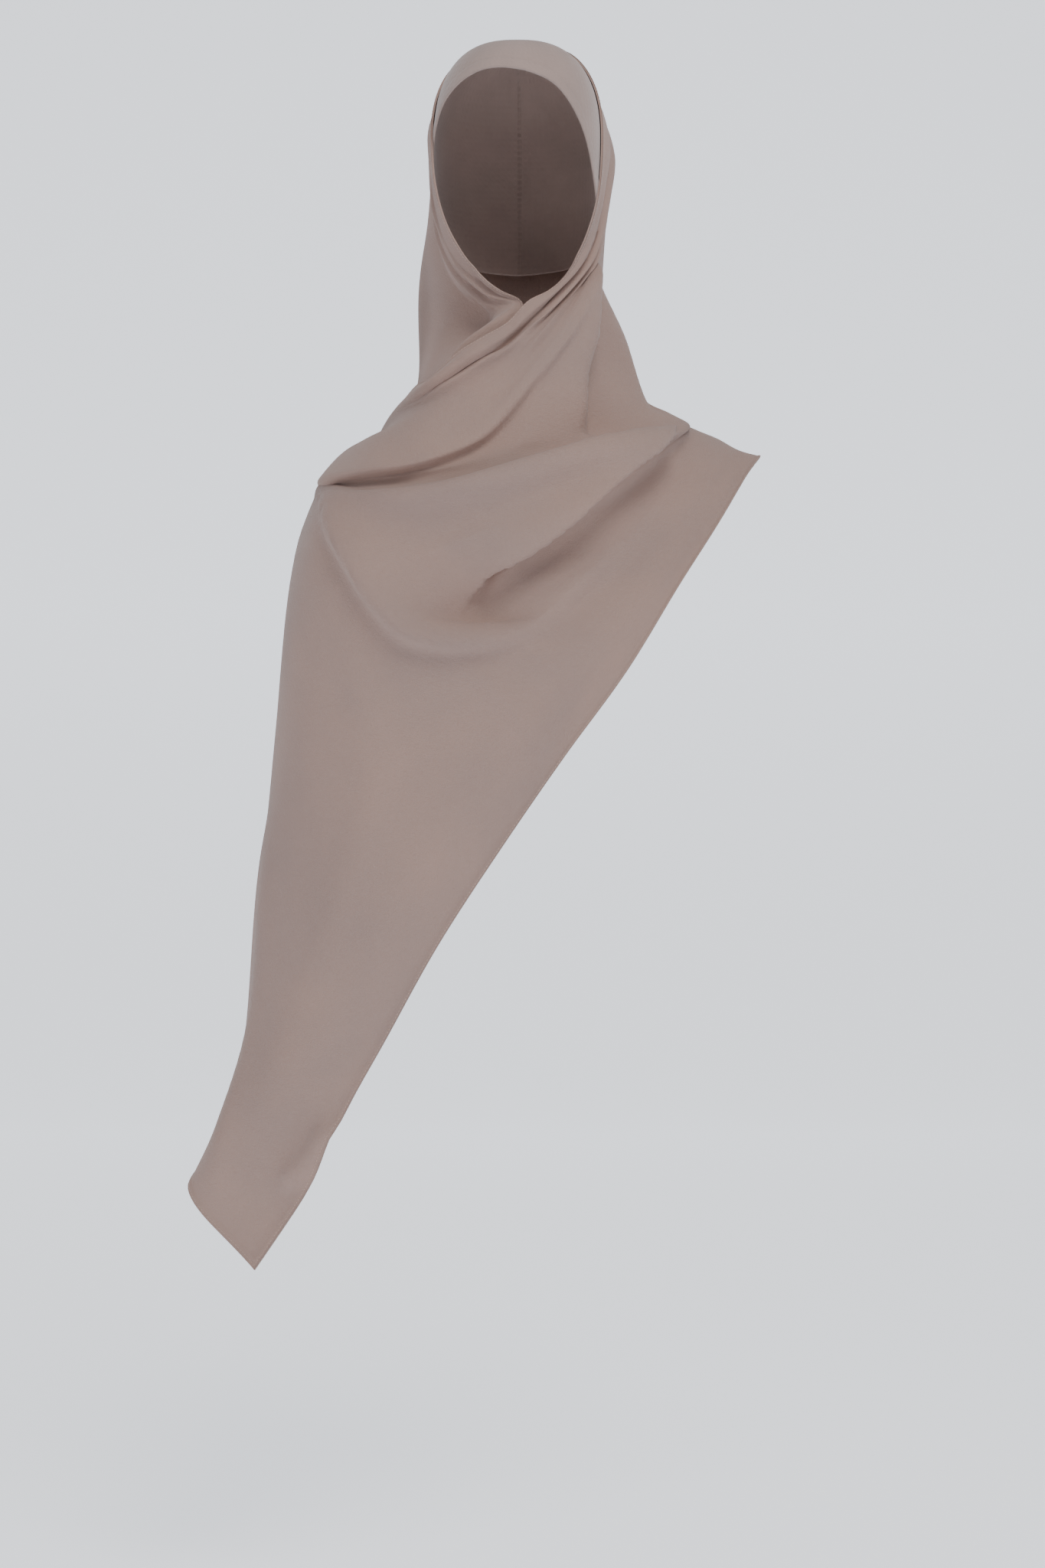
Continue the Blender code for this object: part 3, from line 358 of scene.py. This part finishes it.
def head_level(offsets):
    """How far out `offsets` from the head's centre are: 1 on the head, above 1 outside it."""
    rise = np.where(offsets[..., 2] > 0.0, HEAD_CROWN_RISE, HEAD_CHIN_DROP)
    n = HEAD_SQUARENESS
    total = (np.abs(offsets[..., 0] / HEAD_HALF_WIDTH) ** n
             + np.abs(offsets[..., 1] / HEAD_HALF_DEPTH) ** n
             + np.abs(offsets[..., 2] / rise) ** n)
    return np.maximum(total, 1e-9) ** (1.0 / n)


def keep_off_head(points, clearance, snug):
    """Move points too near the head straight out from its centre, and draw the snug ones to it."""
    offsets = points - head_centre()
    radius = np.linalg.norm(offsets, axis=-1)
    shortest = radius / head_level(offsets) + clearance
    longer = np.maximum(radius + (shortest - radius) * snug, shortest)
    return head_centre() + offsets * (longer / np.maximum(radius, 1e-9))[..., None]


def base_cloth(along, across):
    """The drape without its folds: points indexed [along, across]."""
    size = np.array([DRAPE_HALF_SPAN, DRAPE_HALF_DEPTH, DRAPE_HEAD_DROP])
    shift = np.array([DRAPE_SIDE_SHIFT, 0.0, DRAPE_RISE])
    lines = []
    for _, _, rows in GUIDES:
        rows = np.array(rows)
        lines.append(spline(rows[:, 0], rows[:, 1:] * size + shift, along))
    shares = [guide[1] for guide in GUIDES]
    return np.transpose(spline(shares, np.array(lines), across), (1, 0, 2))


def frame_of(points):
    """Unit directions along, across and out of the cloth."""
    along = unit(np.gradient(points, axis=0))
    across = unit(np.gradient(points, axis=1))
    return along, across, unit(np.cross(along, across))


def fold_push(along, across, frame, row):
    """What one fold adds: out of the cloth by its rise, and across its own line by its lean."""
    _, rise, lean, edge_width, hem_width, line = row
    line = np.array(line) * (CLOTH_PROPORTION, 1.0)
    line = spline(np.linspace(0.0, 1.0, len(line)), line, np.linspace(0.0, 1.0, FOLD_STRETCHES + 1))
    steps = np.diff(line, axis=0)
    lengths = np.linalg.norm(steps, axis=1)
    total = lengths.sum()
    begun = np.concatenate([[0.0], np.cumsum(lengths)[:-1]])
    hemward = 1.0 if line[-1, 0] >= line[0, 0] else -1.0
    x = along * CLOTH_PROPORTION
    nearest = np.full(x.shape, np.inf)
    beyond = np.zeros(x.shape, bool)
    side = np.zeros(x.shape + (2,))
    stretches = []
    for start, step, length, before in zip(line[:-1], steps, lengths, begun):
        run = step / length
        turn = np.array([-run[1], run[0]]) * hemward
        travel = np.clip((x - start[0]) * run[0] + (across - start[1]) * run[1], 0.0, length)
        gap_x = x - start[0] - travel * run[0]
        gap_y = across - start[1] - travel * run[1]
        distance = np.hypot(gap_x, gap_y)
        closer = distance < nearest
        nearest[closer] = distance[closer]
        beyond[closer] = (gap_x * turn[0] + gap_y * turn[1] >= 0.0)[closer]
        side[closer] = turn
        share = (before + travel) / total
        stretches.append((distance, ease(share / FOLD_FADE) * ease((1.0 - share) / FOLD_FADE)))
    width = np.where(beyond, hem_width, edge_width)
    bump = np.max([np.exp(-(distance / width) ** 2) * fade for distance, fade in stretches], axis=0)
    run_out, cross_out, normal = frame
    push = rise * normal + lean * (side[..., :1] * run_out + side[..., 1:] * cross_out)
    return bump[..., None] * push * FOLD_RISE


def hanging_rise(along, across, row):
    """Height of one fan of hanging folds over the flat cloth."""
    _, top_start, top_end, hem_start, hem_end, begin, full, count, rise = row
    start = top_start + (hem_start - top_start) * across
    end = top_end + (hem_end - top_end) * across
    share = (along - start) / (end - start)
    inside = ease(share * count) * ease((1.0 - share) * count)
    grown = ease((across - begin) / (full - begin))
    return rise * FOLD_RISE * np.sin(2.0 * math.pi * count * share) * inside * grown


def scarf_points(along, across):
    """The scarf's middle surface with its folds, clear of the head and of the cap."""
    points = base_cloth(along, across)
    frame = frame_of(points)
    grid_along, grid_across = np.meshgrid(along, across, indexing="ij")
    pushed = points.copy()
    for row in FOLDS:
        pushed = pushed + fold_push(grid_along, grid_across, frame, row)
    for row in HANGING_FOLDS:
        pushed = pushed + hanging_rise(grid_along, grid_across, row)[..., None] * frame[2]
    clearance = CAP_BAND_THICKNESS + SCARF_SLACK + HEM_THICKNESS / 2
    snug = ease((SNUG_ACROSS - grid_across) / SNUG_ACROSS)
    for start, end in (SNUG_ALONG, SNUG_ALONG[::-1]):
        snug = snug * ease((grid_along - start) / (end - start) / SNUG_RAMP)
    return keep_off_head(pushed, clearance, snug)


def sheet_normals(points):
    """Unit normals of a grid of points, out of the cloth."""
    return frame_of(points)[2]


def grid_triangles(points):
    """Triangles of a grid of points numbered column by column, each cell cut along its shorter diagonal."""
    columns, rows = points.shape[:2]
    faces = []
    for i in range(columns - 1):
        for j in range(rows - 1):
            a = i * rows + j
            b, c, d = a + 1, a + rows + 1, a + rows
            rising = np.linalg.norm(points[i, j] - points[i + 1, j + 1])
            falling = np.linalg.norm(points[i + 1, j] - points[i, j + 1])
            faces += [(c, b, a), (d, c, a)] if rising < falling else [(d, b, a), (d, c, b)]
    return faces


def grid_lines(spans, hem_share):
    """Shares from 0 to 1 where the grid's lines lie, with extra lines for the hem at both ends."""
    lines = []
    for start, end, count in spans:
        lines += list(np.linspace(start, end, count, endpoint=False))
    clear = HEM_CLEAR * hem_share
    lines = [share for share in lines if clear < share < 1.0 - clear]
    near = [line * hem_share for line in HEM_LINES]
    return np.array(near + lines + [1.0 - share for share in reversed(near)])


def closed_sheet(points, normals, thickness):
    """A sheet with two faces and a rim round all four edges, from its middle surface."""
    columns, rows = points.shape[:2]
    half = thickness[..., None] / 2
    outer = (points + normals * half).reshape(-1, 3)
    inner = (points - normals * half).reshape(-1, 3)
    count = columns * rows
    faces = grid_triangles(points)
    faces += [(c + count, b + count, a + count) for a, b, c in faces]
    edge = list(range(rows))
    edge += [i * rows + rows - 1 for i in range(1, columns)]
    edge += [(columns - 1) * rows + j for j in range(rows - 2, -1, -1)]
    edge += [i * rows for i in range(columns - 2, 0, -1)]
    for a, b in zip(edge, edge[1:] + edge[:1]):
        faces.append((b, a, a + count, b + count))
    return np.vstack([outer, inner]), faces


def add_piece(name, vertices, faces, look, uv=None):
    """One named object from vertices and faces, shaded smooth; `uv` has one row for each vertex."""
    mesh = bpy.data.meshes.new(name)
    mesh.from_pydata([tuple(vertex) for vertex in vertices], [], faces)
    mesh.materials.append(look)
    if uv is not None:
        layer = mesh.uv_layers.new(name="cloth")
        corners = np.empty(len(mesh.loops), dtype=np.int32)
        mesh.loops.foreach_get("vertex_index", corners)
        layer.data.foreach_set("uv", np.asarray(uv, dtype=np.float32)[corners].ravel())
    mesh.shade_smooth()
    piece = bpy.data.objects.new(name, mesh)
    bpy.context.scene.collection.objects.link(piece)
    return piece


def new_material(name, roughness):
    """A material with its node tree, and its Principled shader."""
    made = bpy.data.materials.new(name)
    made.use_nodes = True
    shader = made.node_tree.nodes["Principled BSDF"]
    shader.inputs["Roughness"].default_value = roughness
    return made, made.node_tree.nodes, made.node_tree.links, shader


def mottle(nodes, links, shader, colours, scale, coordinate):
    """Slight colour variation between two colours from a noise of that scale (per metre)."""
    noise = nodes.new("ShaderNodeTexNoise")
    noise.inputs["Scale"].default_value = scale
    noise.inputs["Detail"].default_value = 6.0
    ramp = nodes.new("ShaderNodeValToRGB")
    ramp.color_ramp.elements[0].position = 0.32
    ramp.color_ramp.elements[0].color = colours[0]
    ramp.color_ramp.elements[1].position = 0.68
    ramp.color_ramp.elements[1].color = colours[1]
    links.new(coordinate, noise.inputs["Vector"])
    links.new(noise.outputs["Fac"], ramp.inputs["Fac"])
    links.new(ramp.outputs["Color"], shader.inputs["Base Color"])


def weave_height(nodes, links, coordinate, phase):
    """Height of a plain weave whose waves turn through `phase` radians per metre in each direction."""
    waves = []
    for direction in ("X", "Y"):
        wave = nodes.new("ShaderNodeTexWave")
        wave.bands_direction = direction
        wave.inputs["Scale"].default_value = phase / WAVE_NODE_PHASE
        wave.inputs["Distortion"].default_value = 1.4
        wave.inputs["Detail"].default_value = 2.0
        wave.inputs["Detail Scale"].default_value = 3.0
        links.new(coordinate, wave.inputs["Vector"])
        waves.append(wave)
    crossing = nodes.new("ShaderNodeMath")
    crossing.operation = "MULTIPLY"
    links.new(waves[0].outputs["Fac"], crossing.inputs[0])
    links.new(waves[1].outputs["Fac"], crossing.inputs[1])
    return crossing.outputs["Value"]


def add_bump(nodes, links, shader, height, strength, distance, before=None):
    """Bump from a height, after an earlier bump if there is one."""
    bump = nodes.new("ShaderNodeBump")
    bump.inputs["Strength"].default_value = strength
    bump.inputs["Distance"].default_value = distance
    links.new(height, bump.inputs["Height"])
    if before is not None:
        links.new(before.outputs["Normal"], bump.inputs["Normal"])
    links.new(bump.outputs["Normal"], shader.inputs["Normal"])
    return bump


def chiffon():
    """Matt crepe chiffon: a fine uneven weave, faint crinkle, a soft sheen and a little light through it."""
    made, nodes, links, shader = new_material("taupe_chiffon_fine", 0.88)
    cloth = nodes.new("ShaderNodeUVMap")
    cloth.uv_map = "cloth"
    mottle(nodes, links, shader, (SCARF_SHADE, SCARF_COLOUR), 9.0, cloth.outputs["UV"])
    crinkle = nodes.new("ShaderNodeTexNoise")
    crinkle.inputs["Scale"].default_value = 900.0
    crinkle.inputs["Detail"].default_value = 5.0
    links.new(cloth.outputs["UV"], crinkle.inputs["Vector"])
    first = add_bump(nodes, links, shader, crinkle.outputs["Fac"], 0.8, 0.0008)
    weave = weave_height(nodes, links, cloth.outputs["UV"], CHIFFON_PHASE)
    add_bump(nodes, links, shader, weave, 0.30, 0.0004, first)
    shader.inputs["Sheen Weight"].default_value = 0.15
    shader.inputs["Sheen Roughness"].default_value = 0.45
    shader.inputs["Subsurface Weight"].default_value = 0.12
    shader.inputs["Subsurface Radius"].default_value = (0.004, 0.0025, 0.002)
    shader.inputs["Specular IOR Level"].default_value = 0.2
    return made


def jersey():
    """Matt jersey with a crossing texture like the scarf's, and more sheen."""
    made, nodes, links, shader = new_material("taupe_jersey_fine", 0.92)
    cloth = nodes.new("ShaderNodeUVMap")
    cloth.uv_map = "cloth"
    mottle(nodes, links, shader, (CAP_SHADE, CAP_COLOUR), 14.0, cloth.outputs["UV"])
    ribs = weave_height(nodes, links, cloth.outputs["UV"], JERSEY_PHASE)
    add_bump(nodes, links, shader, ribs, 0.45, 0.0005)
    shader.inputs["Sheen Weight"].default_value = 0.25
    shader.inputs["Sheen Roughness"].default_value = 0.5
    shader.inputs["Specular IOR Level"].default_value = 0.2
    return made


def thread():
    """Peach sewing thread, twisted."""
    made, nodes, links, shader = new_material("hem_thread", 0.7)
    place = nodes.new("ShaderNodeTexCoord")
    mottle(nodes, links, shader, (THREAD_SHADE, THREAD_COLOUR), 300.0, place.outputs["Object"])
    shader.inputs["Sheen Weight"].default_value = 0.2
    return made


def dull_metal():
    """Brushed grey metal with fine scratches."""
    made, nodes, links, shader = new_material("dull_metal_fine", 0.42)
    place = nodes.new("ShaderNodeTexCoord")
    mottle(nodes, links, shader, (METAL_SHADE, METAL_COLOUR), 900.0, place.outputs["Object"])
    scratch = nodes.new("ShaderNodeTexNoise")
    scratch.inputs["Scale"].default_value = 5000.0
    links.new(place.outputs["Object"], scratch.inputs["Vector"])
    add_bump(nodes, links, shader, scratch.outputs["Fac"], 0.15, 0.0002)
    shader.inputs["Metallic"].default_value = 0.9
    return made


def glowing_studio_paper():
    """Pale matt paper of the studio sweep, which glows evenly with its own colour: painted light in place of
    light falling on it.
    """
    made, nodes, links, shader = new_material("glowing_studio_paper", 0.95)
    place = nodes.new("ShaderNodeTexCoord")
    mottle(nodes, links, shader, (SWEEP_SHADE, SWEEP_COLOUR), 0.35, place.outputs["Object"])
    shader.inputs["Specular IOR Level"].default_value = 0.1
    # The paper glows with its own colour: painted light, not a lamp.
    shader.inputs["Emission Color"].default_value = SWEEP_COLOUR
    shader.inputs["Emission Strength"].default_value = SWEEP_GLOW
    return made


def hem_profile(lines, hem_share):
    """One within the hem at either end of the shares, zero beyond it."""
    edge = np.minimum(lines, 1.0 - lines)
    return np.where(edge <= hem_share * 1.01, 1.0, 0.0)


def build_scarf():
    """The scarf on a fine grid, with a thicker turned hem at its four edges, and what the stitches need."""
    along_hem = HEM_WIDTH / SCARF_LENGTH
    across_hem = HEM_WIDTH / SCARF_WIDTH
    along = grid_lines(ALONG_SPANS, along_hem)
    across = grid_lines(ACROSS_SPANS, across_hem)
    points = scarf_points(along, across)
    normals = sheet_normals(points)
    hem = np.maximum(hem_profile(along, along_hem)[:, None], hem_profile(across, across_hem)[None, :])
    thickness = SCARF_THICKNESS + (HEM_THICKNESS - SCARF_THICKNESS) * hem
    vertices, faces = closed_sheet(points, normals, thickness)
    u, v = np.meshgrid(along * SCARF_LENGTH, across * SCARF_WIDTH, indexing="ij")
    uv = np.stack([u, v], axis=-1).reshape(-1, 2)
    scarf = add_piece("chiffon_scarf", vertices, faces, chiffon(), np.vstack([uv, uv]))
    return scarf, (along, across, points, normals)


def hem_line(sheet):
    """Closed line along the middle of the turned hem: its points and the cloth's normals there."""
    along, across, points, normals = sheet
    first = 1
    last_along, last_across = len(along) - 2, len(across) - 2
    route = [(i, first) for i in range(first, last_along)]
    route += [(last_along, j) for j in range(first, last_across)]
    route += [(i, last_across) for i in range(last_along, first, -1)]
    route += [(first, j) for j in range(last_across, first, -1)]
    line = np.array([points[i, j] for i, j in route])
    out = np.array([normals[i, j] for i, j in route])
    return line, out


def stitch_shape(centre, run, side, out):
    """Vertices of one stitch: two pointed ends and two square rings between them."""
    half = STITCH_WIDTH / 2
    vertices = [centre - run * STITCH_LENGTH / 2]
    for share in (-0.30, 0.30):
        for turn in range(4):
            angle = math.pi * (0.25 + 0.5 * turn)
            ring = side * math.cos(angle) * half + out * math.sin(angle) * half * 0.7
            vertices.append(centre + run * share * STITCH_LENGTH + ring)
    vertices.append(centre + run * STITCH_LENGTH / 2)
    return vertices


def build_stitches(sheet):
    """A row of small stitches on both faces of the hem."""
    line, out = hem_line(sheet)
    closed = np.vstack([line, line[:1]])
    closed_out = np.vstack([out, out[:1]])
    length = np.concatenate([[0.0], np.cumsum(np.linalg.norm(np.diff(closed, axis=0), axis=1))])
    places = np.arange(STITCH_PITCH / 2, length[-1], STITCH_PITCH)
    ends = [np.array([np.interp(places + shift, length, closed[:, axis]) for axis in range(3)]).T
            for shift in (-STITCH_LENGTH / 2, STITCH_LENGTH / 2)]
    centres = (ends[0] + ends[1]) / 2
    runs = unit(ends[1] - ends[0])
    outs = unit(np.array([np.interp(places, length, closed_out[:, axis]) for axis in range(3)]).T)
    vertices = []
    faces = []
    for face in (1.0, -1.0):
        for centre, run, normal in zip(centres, runs, outs):
            side = unit(np.cross(run, normal * face))
            start = len(vertices)
            lifted = centre + normal * face * (HEM_THICKNESS / 2 + STITCH_WIDTH * 0.1)
            vertices += stitch_shape(lifted, run, side, normal * face)
            for turn in range(4):
                following = (turn + 1) % 4
                near, near_next = start + 1 + turn, start + 1 + following
                far, far_next = near + 4, near_next + 4
                faces.append((start, near_next, near))
                faces.append((near, near_next, far_next, far))
                faces.append((far, far_next, start + 9))
    return add_piece("scarf_hem_stitches", vertices, faces, thread())


def cap_direction(azimuth, polar):
    """Unit direction from the head's centre, azimuth from the front and polar angle from the crown."""
    flat = np.sin(polar)
    return np.stack([flat * np.sin(azimuth), -flat * np.cos(azimuth), np.cos(polar)], axis=-1)


def cap_edge_angle(azimuth):
    """Polar angle at which the head's surface has come down to the cap's edge, at one azimuth."""
    rows = np.array(CAP_EDGE)
    height = np.interp(math.degrees(azimuth), rows[:, 0], rows[:, 1]) * HEAD_CHIN_DROP
    polar = np.linspace(0.05, math.pi * 0.8, 400)
    direction = cap_direction(np.full(polar.shape, azimuth), polar)
    surface = direction / head_level(direction)[:, None]
    return np.interp(-height, -(surface[:, 2] - HEAD_CROWN_RISE), polar)


def build_cap():
    """The jersey cap with its doubled band, open at the face and the neck."""
    azimuths = np.linspace(-math.pi, math.pi, CAP_TURNS, endpoint=False)
    edge = np.array([cap_edge_angle(azimuth) for azimuth in azimuths])
    weights = np.array([1.0, 2.0, 3.0, 2.0, 1.0]) / 9.0
    edge = sum(weight * np.roll(edge, shift) for weight, shift in zip(weights, (-2, -1, 0, 1, 2)))
    shares = np.arange(1, CAP_RINGS + 1) / CAP_RINGS
    polar = edge[:, None] * shares[None, :]
    direction = cap_direction(np.repeat(azimuths[:, None], CAP_RINGS, axis=1), polar)
    surface = direction / head_level(direction)[..., None]
    wall = np.full(polar.shape, CAP_THICKNESS)
    band = shares >= CAP_BAND_SHARE
    wall[:, band] = CAP_BAND_THICKNESS
    seam = np.argmax(band)
    wall[:, seam - 1] = CAP_THICKNESS * CAP_SEAM_SHARE
    centre = head_centre()
    inner = surface + direction * CAP_LIFT + centre
    outer = surface + direction * wall[..., None] + centre
    crown = np.array([[0.0, 0.0, CAP_LIFT], [0.0, 0.0, CAP_THICKNESS]])
    count = CAP_TURNS * CAP_RINGS
    inner_crown = 2 * count
    outer_crown = inner_crown + 1
    faces = []
    for turn in range(CAP_TURNS):
        here = turn * CAP_RINGS
        there = (turn + 1) % CAP_TURNS * CAP_RINGS
        faces.append((inner_crown, there, here))
        faces.append((outer_crown, here + count, there + count))
        for ring in range(CAP_RINGS - 1):
            a, b = here + ring, there + ring
            faces.append((a, b, b + 1, a + 1))
            faces.append((a + count + 1, b + count + 1, b + count, a + count))
        last, following = here + CAP_RINGS - 1, there + CAP_RINGS - 1
        faces.append((last, following, following + count, last + count))
    vertices = np.vstack([inner.reshape(-1, 3), outer.reshape(-1, 3), crown])
    around = np.arctan2(vertices[:, 0], -vertices[:, 1]) * HEAD_HALF_DEPTH
    uv = np.stack([around, vertices[:, 2]], axis=-1)
    return add_piece("jersey_cap", vertices, faces, jersey(), uv)


def build_sweep():
    """Studio sweep: floor, bend and back wall as one surface."""
    profile = [(SWEEP_FRONT, 0.0), (0.0, 0.0), (SWEEP_BACK - SWEEP_BEND, 0.0)]
    for step in range(1, SWEEP_STEPS + 1):
        angle = math.pi / 2 * step / SWEEP_STEPS
        profile.append((SWEEP_BACK - SWEEP_BEND + SWEEP_BEND * math.sin(angle),
                        SWEEP_BEND - SWEEP_BEND * math.cos(angle)))
    profile.append((SWEEP_BACK, SWEEP_HEIGHT))
    vertices = []
    for side in (-SWEEP_HALF_WIDTH, SWEEP_HALF_WIDTH):
        vertices += [(side, depth, FLOOR_HEIGHT + rise) for depth, rise in profile]
    count = len(profile)
    faces = [(i, i + count, i + count + 1, i + 1) for i in range(count - 1)]
    sweep = add_piece("studio_sweep", vertices, faces, glowing_studio_paper())


def add_light(name, place, target, size, power, colour):
    """A square area light at `place` that looks at `target`."""
    data = bpy.data.lights.new(name, "AREA")
    data.energy = power
    data.size = size
    data.color = colour
    light = bpy.data.objects.new(name, data)
    light.location = place
    direction = np.array(target) - np.array(place)
    flat = math.hypot(direction[0], direction[1])
    light.rotation_euler = (math.atan2(flat, -direction[2]), 0.0, math.atan2(-direction[0], direction[1]))
    bpy.context.scene.collection.objects.link(light)


def add_lights():
    """Soft window-like key from above in front, a little to the right, a weak fill, and a pale world."""
    for name, place, size, power, colour in LIGHTS:
        add_light(name, place, LIGHT_TARGET, size, power, colour)
    world = bpy.data.worlds.new("studio_world")
    world.use_nodes = True
    background = world.node_tree.nodes["Background"]
    background.inputs["Color"].default_value = WORLD_COLOUR
    background.inputs["Strength"].default_value = WORLD_STRENGTH
    bpy.context.scene.world = world


def add_camera():
    """Level camera in front of the object at the photograph's height and angle of view."""
    data = bpy.data.cameras.new("camera")
    data.sensor_fit = "VERTICAL"
    data.sensor_height = CAMERA_SENSOR
    data.lens = CAMERA_SENSOR * FOCAL_PIXELS / PHOTO_HEIGHT
    camera = bpy.data.objects.new("camera", data)
    camera.location = CAMERA_PLACE
    camera.rotation_euler = (math.pi / 2, 0.0, 0.0)
    bpy.context.scene.collection.objects.link(camera)
    bpy.context.scene.camera = camera


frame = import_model()

add_camera()
add_lights()
build_sweep()

cap = build_cap()
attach(cap, "root")
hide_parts("undercap")

scarf, scarf_grid = build_scarf()
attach(scarf, "root")
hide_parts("scarf")

stitches = build_stitches(scarf_grid)
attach(stitches, "root")

clasp = frame["nodes"]["chin_clasp"]
clasp.data.materials.clear()
clasp.data.materials.append(dull_metal())
